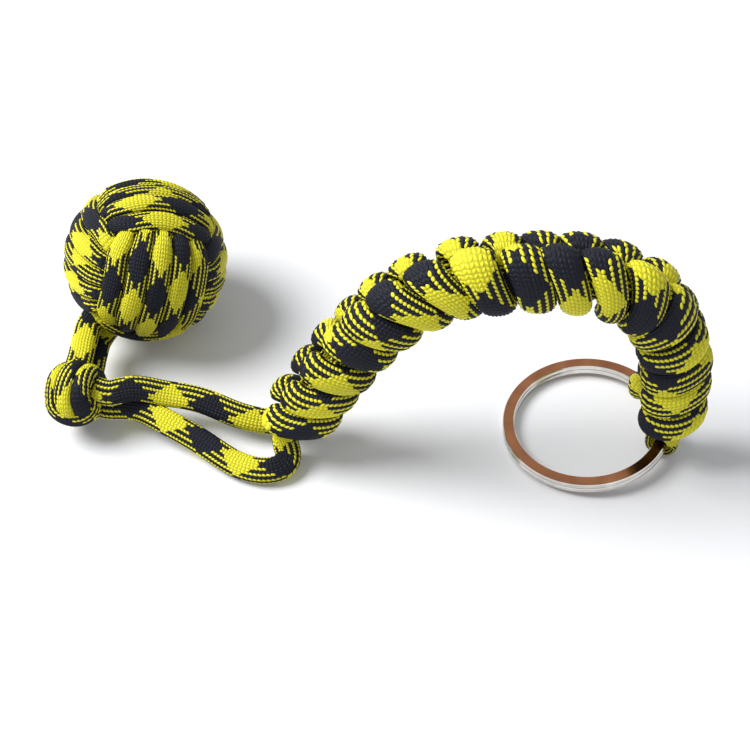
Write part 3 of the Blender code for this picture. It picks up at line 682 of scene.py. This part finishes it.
def stopper_knot():
    turns = np.linspace(0, KNOT_TURNS, round(KNOT_TURNS * KNOT_STEPS_PER_TURN) + 1)
    angle = KNOT_LAST_ANGLE - 2 * math.pi * (KNOT_TURNS - turns)
    latitude = KNOT_FIRST_LATITUDE + (KNOT_LAST_LATITUDE - KNOT_FIRST_LATITUDE) * turns / KNOT_TURNS
    radius = (KNOT_BALL_RADIUS - KNOT_PRESSED_THICKNESS / 2) * np.ones(len(turns))
    turned = np.interp(turns, KNOT_TURNED_AT, KNOT_TURNED)
    up = unit(np.cross(np.cross(KNOT_POLE, UP_IN_VIEW), KNOT_POLE))
    navy_at = np.argmin(np.abs(turns - KNOT_TURNS + KNOT_NAVY_TURNS))
    lemon_at = np.argmin(np.abs(turns - KNOT_TURNS + KNOT_LEMON_TURNS))
    wraps = knot_strand(
        "stopper_knot_wraps", KNOT_POLE, up, angle, latitude, radius, turned, navy_at, lemon_at
    )
    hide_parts("knot_wraps")
    share = np.linspace(0, 1, CROSSING_STRAND_STEPS + 1)
    angle = CROSSING_STRAND_FROM + (CROSSING_STRAND_TO - CROSSING_STRAND_FROM) * share - math.pi / 2
    latitude = CROSSING_STRAND_LATITUDE * np.ones(len(share))
    radius = KNOT_BALL_RADIUS - KNOT_PRESSED_THICKNESS / 2 + CROSSING_STRAND_PROUD
    radius = radius - CROSSING_STRAND_DEPTH * (2 * share - 1) ** 4
    side = np.cross(TO_VIEWER, UP_IN_VIEW)
    middle = CROSSING_STRAND_STEPS // 2
    turned = CROSSING_STRAND_TURNED
    strand = knot_strand(
        "stopper_knot_crossing", unit(TO_VIEWER), -side, angle, latitude, radius, turned, middle
    )
    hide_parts("knot_wraps")
    shares = np.linspace(-KNOT_HEART_REACH, KNOT_HEART_REACH, KNOT_HEART_STEPS + 1)
    middles = KNOT_BALL_CENTRE + np.outer(shares * KNOT_HALF_LENGTH, KNOT_AXIS)
    ups = np.repeat(KNOT_UPWARDS[None], len(shares), axis=0)
    width = KNOT_HEART_WIDTH * np.sqrt(1 - shares**2 * KNOT_HEART_TAPER)
    run = lengths_along(middles) / BRAID_REPEAT
    heart = pressed_cord("stopper_knot_heart", middles, ups, width, width, 0.0, run, "knot")
    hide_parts("knot_heart")


stopper_knot()

# The snake sennit. Two columns of wraps of the same cord are locked into each other along the middle, over
# two core cords, and pulled tight. Each wrap is one lobe on its side, and crosses over hidden in the middle.
SENNIT_COLUMN_WIDTH = 6.35 * MM
SENNIT_DEPTH = 12.9 * MM
CROSSING_SQUARENESS = 0.55
OUTSIDE_SQUARENESS = 1.0
CROSSING_SHARE = 0.19
SENNIT_STEPS_PER_WRAP = 44
WRAP_OUTLINE_STEPS = 1440
CORE_STEP = 1.2 * MM
PRESSED_BAND_WIDTH = 6.55 * MM
SEAM_PRESS = 1.04
PRESSED_SEAM_WIDTH = SENNIT_PITCH / 2 * SEAM_PRESS
PRESSED_THICKNESS = 4.1 * MM
COLUMN_MIDDLE = (SENNIT_COLUMN_WIDTH - PRESSED_THICKNESS / 2) / 2
HALF_DEPTH = (SENNIT_DEPTH - PRESSED_THICKNESS) / 2
STRETCHES = {
    "foot": (0, 5),
    "bend_left": (5, 6),
    "crown": (6, 10),
    "bend_right": (10, 11),
    "leg": (11, 17),
}
BENDS = {"bend_left": ("foot", "crown"), "bend_right": ("crown", "leg")}
BEND_REACH = 4.5 * MM
LOBE_FULLNESS = 0.9
WRAP_DRIFT = 2.4 * MM
FOOT_SPREAD = 1.9 * MM
FOOT_SPREAD_TO = 0.3
LEG_PULL = 1.5 * MM
LEG_PULL_FROM = 0.75
LEG_TAPER = 0.08
LEG_TAPER_FROM = 0.8
SAG = 2.2 * MM
SAG_FROM = 0.5
SAG_WHOLE_FROM = 0.85
SAG_HELD_BY_SEAM = 0.75
CROWN_LEAN = 0.24
LAST_LOBE_OUT = 2.6 * MM
# No two lobes are alike. Each unevenness is a wave along the column, with its step from lobe to lobe.
LEAN_UNEVENNESS = 0.22
LEAN_WAVE = 1.3
DEPTH_UNEVENNESS = 0.035
DEPTH_WAVE = 3.7
WRAP_UNEVENNESS = 0.45 * MM
WRAP_WAVE = 2.4
WIDTH_UNEVENNESS = 0.05
WIDTH_WAVE = 1.7


def wrap_outline():
    """One wrap seen along the sennit, as even steps (p, q) round it from its hidden crossing's middle."""
    angle = math.pi + 2 * math.pi * np.linspace(0, 1, WRAP_OUTLINE_STEPS + 1)
    c, s = np.cos(angle), np.sin(angle)
    power = np.where(c < 0, CROSSING_SQUARENESS, OUTSIDE_SQUARENESS)
    p = COLUMN_MIDDLE + COLUMN_MIDDLE * np.sign(c) * np.abs(c) ** power
    q = -HALF_DEPTH * np.sign(s) * np.abs(s) ** power
    fine = np.stack([p, q], -1)
    run = lengths_along(fine)
    even = np.linspace(0.0, run[-1], SENNIT_STEPS_PER_WRAP + 1)
    return np.interp(even, run, p), np.interp(even, run, q)


def drifted(s):
    """The wraps have crept towards the leg, most in the sennit's middle, and spread a little at its foot."""
    share = np.clip(s / SENNIT_LENGTH, 0, 1)
    spread = FOOT_SPREAD * (1 - smooth_step(share / FOOT_SPREAD_TO))
    pull = LEG_PULL * smooth_step((share - LEG_PULL_FROM) / (1 - LEG_PULL_FROM))
    return s + WRAP_DRIFT * np.sqrt(np.sin(math.pi * share)) - (spread + pull)


def wrap_strand(name, side, first, last, turned, run):
    """Wraps first to last of one column. side is 1 for the column on the -Y side and -1 for the far one."""
    outline_p, outline_q = wrap_outline()
    steps = SENNIT_STEPS_PER_WRAP
    index = np.arange((last - first) * steps + 1)
    wrap = np.minimum(index // steps, last - first - 1) + first
    k = index - (wrap - first) * steps
    share = k / steps
    position = wrap + share
    middle = np.sin(math.pi * share) ** 2
    tapered = smooth_step((position / SENNIT_WRAPS - LEG_TAPER_FROM) / (1 - LEG_TAPER_FROM))
    deeper = DEPTH_UNEVENNESS * np.sin(wrap * DEPTH_WAVE + side) * middle
    p, q = outline_p[k], outline_q[k] * (1 + deeper - LEG_TAPER * tapered)
    if side < 0:
        q = q + LAST_LOBE_OUT * (wrap == SENNIT_WRAPS - 1) * middle
    before, after = np.where(k > 0, k - 1, steps - 1), np.where(k < steps, k + 1, 1)
    run_p, run_q = outline_p[after] - outline_p[before], outline_q[after] - outline_q[before]
    size = np.hypot(run_p, run_q)
    out_p, out_q = -run_q / size, run_p / size
    advance = np.interp(share, (0, CROSSING_SHARE, 1 - CROSSING_SHARE, 1), (0, 0.25, 0.75, 1))
    lean = CROWN_LEAN * np.sin(math.pi * (wrap + 0.5) / SENNIT_WRAPS) ** 2
    lean = lean + LEAN_UNEVENNESS * np.sin(wrap * LEAN_WAVE + side)
    advance -= lean * np.sin(2 * math.pi * share) / 2
    s = drifted((wrap + 0.5 + advance) * SENNIT_PITCH)
    sag = SAG * smooth_step((s / SENNIT_LENGTH - SAG_FROM) / (SAG_WHOLE_FROM - SAG_FROM))
    uneven = np.sin(wrap * WRAP_WAVE + side) * WRAP_UNEVENNESS * middle
    s = s + sag * (middle - SAG_HELD_BY_SEAM) + uneven
    spread = smooth_step(p / COLUMN_MIDDLE)
    band_width = PRESSED_BAND_WIDTH * (1 + WIDTH_UNEVENNESS * np.sin(wrap * WIDTH_WAVE + side))
    width = PRESSED_SEAM_WIDTH + (band_width - PRESSED_SEAM_WIDTH) * spread
    thickness = SENNIT_CROSSING_THICKNESS + (PRESSED_THICKNESS - SENNIT_CROSSING_THICKNESS) * spread
    across, out = ribbed_oval(width, thickness, LOBE_FULLNESS)
    point_p = side * (p[:, None] + out_p[:, None] * out)
    point_q = side * (q[:, None] + out_q[:, None] * out)
    sections = bent_along_route(point_p, point_q, s[:, None] - across)
    from_start = lengths_along(bent_along_route(side * p, side * q, s))
    from_lobe = (from_start - np.interp(wrap + 0.5, position, from_start)) / BRAID_REPEAT
    turned_on = eased(turned, position, CROSSING_SHARE)
    run_on = eased(run, position, CROSSING_SHARE) + from_lobe
    return cord_skin(name, sections, turned_on, run_on)


def bent_with_sennit(piece, bend):
    """The piece's place is baked into its points. The reach round the wrap at the bend is worked out, but
    not used.
    """
    first, last = STRETCHES[bend]
    middle = drifted(((first + last) / 2 + 0.5) * SENNIT_PITCH)
    start, end = SENNIT_AT(middle - BEND_REACH), SENNIT_AT(middle + BEND_REACH)
    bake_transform(piece)


# The braid's place on each lobe, from the foot on. A lobe with a run of 0.25 is lemon in its middle, and
# one with 0.75 is navy there.
NEAR_RUN = (0.75, 0.25, 0.25, 0.75, 0.25, 0.1, 0.2, 0.5, 0.8, 0.02, 0.25, 0.68, 0.8, 0.45, 0.62, 0.25, 0.47)
NEAR_TURNED = (
    0.08, 0.12, 0.05, 0, 0.25, 0.08, 0.04, 0.04, 0.08, -0.04, 0.08, 0.04, 0.17, -0.12, 0.25, 0.17, -0.12
)
FAR_RUN = (0.2, 0.2, 0.45, 0.7, 0.7, 0.7, 0.7, 0.7, 0.2, 0.2, 0.6, 0.7, 0.2, 0.2, 0.3, 0.3, 0.72)
FAR_TURNED = (0.2, 0.1, 0.2, 0.1, 0, 0, 0.08, 0, 0.17, 0.04, 0.12, 0, 0.2, 0.04, 0.04, 0, 0.17)
COLUMNS = (("near", 1, NEAR_TURNED, NEAR_RUN), ("far", -1, FAR_TURNED, FAR_RUN))


def sennit_columns():
    for stretch, (first, last) in STRETCHES.items():
        for column, side, turned, run in COLUMNS:
            piece = wrap_strand("lobes_" + column + "_" + stretch, side, first, last, turned, run)
            if stretch in BENDS:
                bent_with_sennit(piece, stretch)
            else:
                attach(piece, stretch)
            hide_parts("sennit_" + column + "_" + stretch)


def core_cords():
    """Each core is made in two lengths that meet in the crown."""
    first, last = STRETCHES["crown"]
    middle = (first + last + 1) / 2 * SENNIT_PITCH
    for column, side in (("near", 1), ("far", -1)):
        for half, start, end in (("left", CORE_TRIM, middle), ("right", middle, SENNIT_LENGTH - CORE_TRIM)):
            s = np.linspace(start, end, round((end - start) / CORE_STEP))
            size = np.ones(len(s))
            across, out = ribbed_oval(CORE_CORD_WIDTH * size, CORE_CORD_THICKNESS * size)
            s_round = np.repeat(s[:, None], CORD_SIDES, 1)
            sections = bent_along_route(side * CORE_MIDDLE + out, -across, s_round)
            piece = cord_skin("core_" + column + "_" + half, sections, 0 * s, s / BRAID_REPEAT)
            bent_with_sennit(piece, "bend_" + half)
            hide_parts("sennit_core_" + column)


sennit_columns()
core_cords()

# The cord eye. Below the last lobes one core cord goes on down outside the ring, under its wire and up
# inside it to the other core. It is pressed thin there, and holds the ring close to the sennit.
RING_OUTER_DIAMETER = 31.0 * MM
RING_WIRE_WIDTH = 2.2 * MM
RING_WIRE_HEIGHT = 0.95 * MM
RING_TURN_GAP = 0.12 * MM
RING_CENTRE = (39.3, 2.1)
RING_HEIGHT = 2 * RING_WIRE_HEIGHT + RING_TURN_GAP
RING_MIDDLE_RADIUS = (RING_OUTER_DIAMETER - RING_WIRE_WIDTH) / 2
EYE_CORD_THICKNESS = 1.6 * MM
EYE_PRESSED_THICKNESS = 1.3 * MM
EYE_PRESSED_WIDTH = 3.5 * MM
EYE_CLEARANCE = 0.3 * MM
EYE_LEG_STEPS = 14
EYE_BEND_STEPS = 24
EYE_INNER_RADIUS = math.hypot(RING_HEIGHT, RING_WIRE_WIDTH) / 2 + EYE_CLEARANCE
EYE_HEIGHT = TOUCH_GAP / 2 + EYE_CORD_THICKNESS + EYE_INNER_RADIUS
EYE_DIRECTION = math.radians(-19)
EYE_TWIST_PACE = 1.15
RING_TILT = math.asin((EYE_HEIGHT - RING_HEIGHT / 2) / (RING_MIDDLE_RADIUS + RING_OUTER_DIAMETER / 2))


def ring_place(points):
    """Takes points of the flat ring, eye side on +X, to where it lies, tilted up on the eye."""
    ct, st = math.cos(RING_TILT), math.sin(RING_TILT)
    cd, sd = math.cos(EYE_DIRECTION), math.sin(EYE_DIRECTION)
    tilt = np.array(((ct, 0, -st), (0, 1, 0), (st, 0, ct)))
    towards_eye = np.array(((cd, -sd, 0), (sd, cd, 0), (0, 0, 1)))
    height = EYE_HEIGHT - RING_MIDDLE_RADIUS * math.sin(RING_TILT)
    return points @ (towards_eye @ tilt).T + place(*RING_CENTRE, height / MM)


def cord_eye():
    pivot = ring_place(np.array((RING_MIDDLE_RADIUS, 0, 0)))
    top = sennit_point(0.0, SENNIT_LENGTH - CORE_TRIM + TOUCH_GAP)
    bend_radius = EYE_INNER_RADIUS + EYE_PRESSED_THICKNESS / 2
    twist = -math.pi / 2 - EYE_DIRECTION
    down = np.arange(EYE_LEG_STEPS) / EYE_LEG_STEPS
    direction = EYE_DIRECTION + twist * smooth_step(EYE_TWIST_PACE * (1 - down))
    leg_out = np.stack([np.cos(direction), np.sin(direction), 0 * down], -1)
    radius = CORE_MIDDLE + (bend_radius - CORE_MIDDLE) * down
    line = top + np.outer(down, pivot - top)
    away = np.array((math.cos(EYE_DIRECTION), math.sin(EYE_DIRECTION), 0))
    angle = math.pi * np.arange(EYE_BEND_STEPS + 1) / EYE_BEND_STEPS
    bend_out = np.outer(np.cos(angle), away) - np.outer(np.sin(angle), (0, 0, 1))
    first_leg = line + leg_out * radius[:, None]
    second_leg = (line - leg_out * radius[:, None])[::-1]
    centres = np.concatenate([first_leg, pivot + bend_out * bend_radius, second_leg])
    outs = np.concatenate([leg_out, bend_out, -leg_out[::-1]])
    run = lengths_along(centres) / BRAID_REPEAT
    eye = pressed_cord("ring_eye", centres, outs, EYE_PRESSED_WIDTH, EYE_PRESSED_THICKNESS, 0.0, run, "leg")
    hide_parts("ring_eye_cord")


cord_eye()

# The split ring. One flat spring-steel wire is wound twice, with its ends filed off, and plated. Its flat
# faces carry a painted brown reflection of brown surroundings, and its edges show the nickel plating with
# worn patches.
RING_STEPS_PER_TURN = 140
RING_STEP_FROM = math.radians(15)
RING_STEP_TO = math.radians(50)
RING_EDGE = 0.16 * MM
RING_SHARP_FROM = math.radians(30)
RING_FLAT_FROM = 0.9
WEAR_SCALE = 260.0
WEAR_CONTRAST = 2.4
WEAR_FROM = 0.7
PLATING_ROUGHNESS = 0.08
PLATING_ROUGHER_BY = 0.22
NICKEL = (0.78, 0.77, 0.75, 1)
NICKEL_WORN = (0.55, 0.52, 0.48, 1)
# Painted reflection: the flat faces are given these browns. They stand in for brown surroundings seen in the
# plating.
BROWN_REFLECTION = (0.33, 0.145, 0.07, 1)
BROWN_REFLECTION_DARK = (0.22, 0.09, 0.045, 1)


def plated_ring_finish():
    material, tree, plating = new_finish("plated_ring")
    plating.inputs["Metallic"].default_value = 1.0
    space = tree.nodes.new("ShaderNodeTexCoord")
    wear = speckle_of(tree, space.outputs["Object"], WEAR_SCALE, 5.0)
    facing = tree.nodes.new("ShaderNodeVectorMath")
    facing.operation = "DOT_PRODUCT"
    tree.links.new(space.outputs["Normal"], facing.inputs[0])
    facing.inputs[1].default_value = ring_place(np.array((0, 0, 1))) - ring_place(np.zeros(3))
    # The flat faces get the painted brown reflection, made patchy by the wear noise. The edges keep the
    # nickel.
    flatness = sum_of(tree, "ABSOLUTE", facing.outputs["Value"])
    on_flat = sum_of(tree, "GREATER_THAN", flatness, RING_FLAT_FROM)
    worn = sum_of(tree, "MULTIPLY_ADD", wear, WEAR_CONTRAST, -WEAR_FROM)
    edges = blend_of(tree, worn, NICKEL, NICKEL_WORN)
    painted_reflection_on_flats = blend_of(tree, worn, BROWN_REFLECTION, BROWN_REFLECTION_DARK)
    tree.links.new(blend_of(tree, on_flat, edges, painted_reflection_on_flats), plating.inputs["Base Color"])
    roughness = sum_of(tree, "MULTIPLY_ADD", wear, PLATING_ROUGHER_BY, PLATING_ROUGHNESS)
    tree.links.new(roughness, plating.inputs["Roughness"])
    return material


def split_ring():
    count = 2 * RING_STEPS_PER_TURN
    step_over = RING_STEP_TO - RING_STEP_FROM
    wound = (4 * math.pi - step_over) * np.arange(count + 1) / count
    climbed = smooth_step((wound - (2 * math.pi - step_over)) / step_over)
    level = (RING_WIRE_HEIGHT + RING_TURN_GAP) * (climbed - 0.5)
    angle = RING_STEP_TO + wound
    w, h = RING_WIRE_WIDTH / 2, RING_WIRE_HEIGHT / 2
    w_in, h_in = w - RING_EDGE, h - RING_EDGE
    lower_half = ((-w, -h_in), (-w_in, -h), (w_in, -h), (w, -h_in))
    upper_half = ((w, h_in), (w_in, h), (-w_in, h), (-w, h_in))
    section = lower_half + upper_half
    rings = []
    for across, up in section:
        radius = RING_MIDDLE_RADIUS + across
        rings.append(np.stack([radius * np.cos(angle), radius * np.sin(angle), level + up], -1))
    points = ring_place(np.stack(rings, 1).reshape(-1, 3))
    sides = len(section)
    faces = [list(range(sides))[::-1], [count * sides + k for k in range(sides)]]
    for i in range(count):
        for k in range(sides):
            here, beside = i * sides + k, i * sides + (k + 1) % sides
            faces.append([here, beside, beside + sides, here + sides])
    ring = new_piece("ring_of_wire", points, faces, plated_ring_finish())
    ring.data.set_sharp_from_angle(angle=RING_SHARP_FROM)
    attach(ring, "ring")
    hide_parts("split_ring")


split_ring()

# The core ball. A plain steel bearing ball is the weight of the fist. The turns are pulled tight round it,
# so nothing of it shows.
STEEL = (0.48, 0.47, 0.46, 1)
SCUFF_SCALE = 220.0
STEEL_ROUGHNESS = 0.15
SCUFFS_ROUGHER_BY = 0.3


def steel_ball_finish():
    material, tree, steel = new_finish("steel_ball")
    steel.inputs["Base Color"].default_value = STEEL
    steel.inputs["Metallic"].default_value = 1.0
    space = tree.nodes.new("ShaderNodeTexCoord")
    scuffs = speckle_of(tree, space.outputs["Object"], SCUFF_SCALE, 4.0)
    roughness = sum_of(tree, "MULTIPLY_ADD", scuffs, SCUFFS_ROUGHER_BY, STEEL_ROUGHNESS)
    tree.links.new(roughness, steel.inputs["Roughness"])
    return material


core_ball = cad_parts["core_ball"]
core_ball.data.materials.clear()
core_ball.data.materials.append(steel_ball_finish())

# The table. A white sheet lies under the fob and takes its soft shadow. Away from the fob it is seen as
# plain white, from all sides.
TABLE_RADIUS = 1500 * MM
TABLE_SIDES = 96
TABLE_LIT = (0.785, 0.79, 0.81, 1)
TABLE_GLOW = 0.05
TABLE_BOUNCE = (0.8, 0.8, 0.8, 1)
PLAIN_WHITE_FROM = 140 * MM
PLAIN_WHITE_TO = 320 * MM


def seen_directly(tree):
    """1 for what the camera sees, straight or in a mirror, and 0 for the light that bounces."""
    rays = tree.nodes.new("ShaderNodeLightPath")
    straight = sum_of(tree, "MAXIMUM", rays.outputs["Is Camera Ray"], rays.outputs["Is Glossy Ray"])
    return sum_of(tree, "MAXIMUM", straight, rays.outputs["Is Transmission Ray"])


def table_finish():
    material, tree, unused_shader = new_finish("white_table")
    tree.nodes.remove(unused_shader)
    lit = tree.nodes.new("ShaderNodeBsdfDiffuse")
    lit.inputs[0].default_value = TABLE_LIT
    glow = tree.nodes.new("ShaderNodeEmission")
    glow.inputs["Strength"].default_value = TABLE_GLOW
    seen = tree.nodes.new("ShaderNodeAddShader")
    tree.links.new(lit.outputs[0], seen.inputs[0])
    tree.links.new(glow.outputs[0], seen.inputs[1])
    white = tree.nodes.new("ShaderNodeEmission")
    place_on_table = tree.nodes.new("ShaderNodeTexCoord")
    from_middle = tree.nodes.new("ShaderNodeVectorMath")
    from_middle.operation = "LENGTH"
    tree.links.new(place_on_table.outputs["Object"], from_middle.inputs[0])
    how_far = tree.nodes.new("ShaderNodeMapRange")
    how_far.interpolation_type = "SMOOTHSTEP"
    how_far.inputs["From Min"].default_value = PLAIN_WHITE_FROM
    how_far.inputs["From Max"].default_value = PLAIN_WHITE_TO
    tree.links.new(from_middle.outputs["Value"], how_far.inputs["Value"])
    whiter = tree.nodes.new("ShaderNodeMixShader")
    tree.links.new(how_far.outputs[0], whiter.inputs[0])
    tree.links.new(seen.outputs[0], whiter.inputs[1])
    tree.links.new(white.outputs[0], whiter.inputs[2])
    bounce = tree.nodes.new("ShaderNodeBsdfDiffuse")
    bounce.inputs[0].default_value = TABLE_BOUNCE
    mix = tree.nodes.new("ShaderNodeMixShader")
    tree.links.new(seen_directly(tree), mix.inputs[0])
    tree.links.new(bounce.outputs[0], mix.inputs[1])
    tree.links.new(whiter.outputs[0], mix.inputs[2])
    tree.links.new(mix.outputs[0], tree.nodes["Material Output"].inputs[0])
    return material


def table():
    bpy.ops.mesh.primitive_circle_add(vertices=TABLE_SIDES, radius=TABLE_RADIUS, fill_type="NGON")
    top = bpy.context.object
    top.name = "table"
    top.data.materials.append(table_finish())


table()

# The light. One large soft lamp stands to the left and a little behind, fifty degrees up. Pale surroundings
# fill the shadows, and are seen as plain white.
LAMP_RISE = math.radians(50)
LAMP_BEHIND = math.radians(7)
LAMP_DISTANCE = 1500 * MM
LAMP_SIZE = 900 * MM
LAMP_POWER = 30.5
SURROUNDINGS = (0.93, 0.95, 1.0, 1)
SURROUNDINGS_STRENGTH = 0.42


def light():
    lamp = bpy.data.lights.new("lamp", "AREA")
    lamp.shape = "DISK"
    lamp.size = LAMP_SIZE
    lamp.energy = LAMP_POWER
    stand = bpy.data.objects.new("lamp", lamp)
    bpy.context.scene.collection.objects.link(stand)
    out = LAMP_DISTANCE * math.cos(LAMP_RISE)
    rise = LAMP_DISTANCE * math.sin(LAMP_RISE)
    stand.location = (-out * math.cos(LAMP_BEHIND), out * math.sin(LAMP_BEHIND), rise)
    stand.rotation_euler = (0, -(math.pi / 2 - LAMP_RISE), -LAMP_BEHIND)
    world = bpy.data.worlds.new("surroundings")
    world.use_nodes = True
    tree = world.node_tree
    fill = tree.nodes["Background"]
    fill.inputs["Color"].default_value = SURROUNDINGS
    fill.inputs["Strength"].default_value = SURROUNDINGS_STRENGTH
    white = tree.nodes.new("ShaderNodeBackground")
    mix = tree.nodes.new("ShaderNodeMixShader")
    white.inputs["Color"].default_value = (1, 1, 1, 1)
    tree.links.new(seen_directly(tree), mix.inputs[0])
    tree.links.new(fill.outputs[0], mix.inputs[1])
    tree.links.new(white.outputs[0], mix.inputs[2])
    tree.links.new(mix.outputs[0], tree.nodes["World Output"].inputs[0])
    bpy.context.scene.world = world


light()
bpy.context.scene.view_settings.view_transform = "Standard"
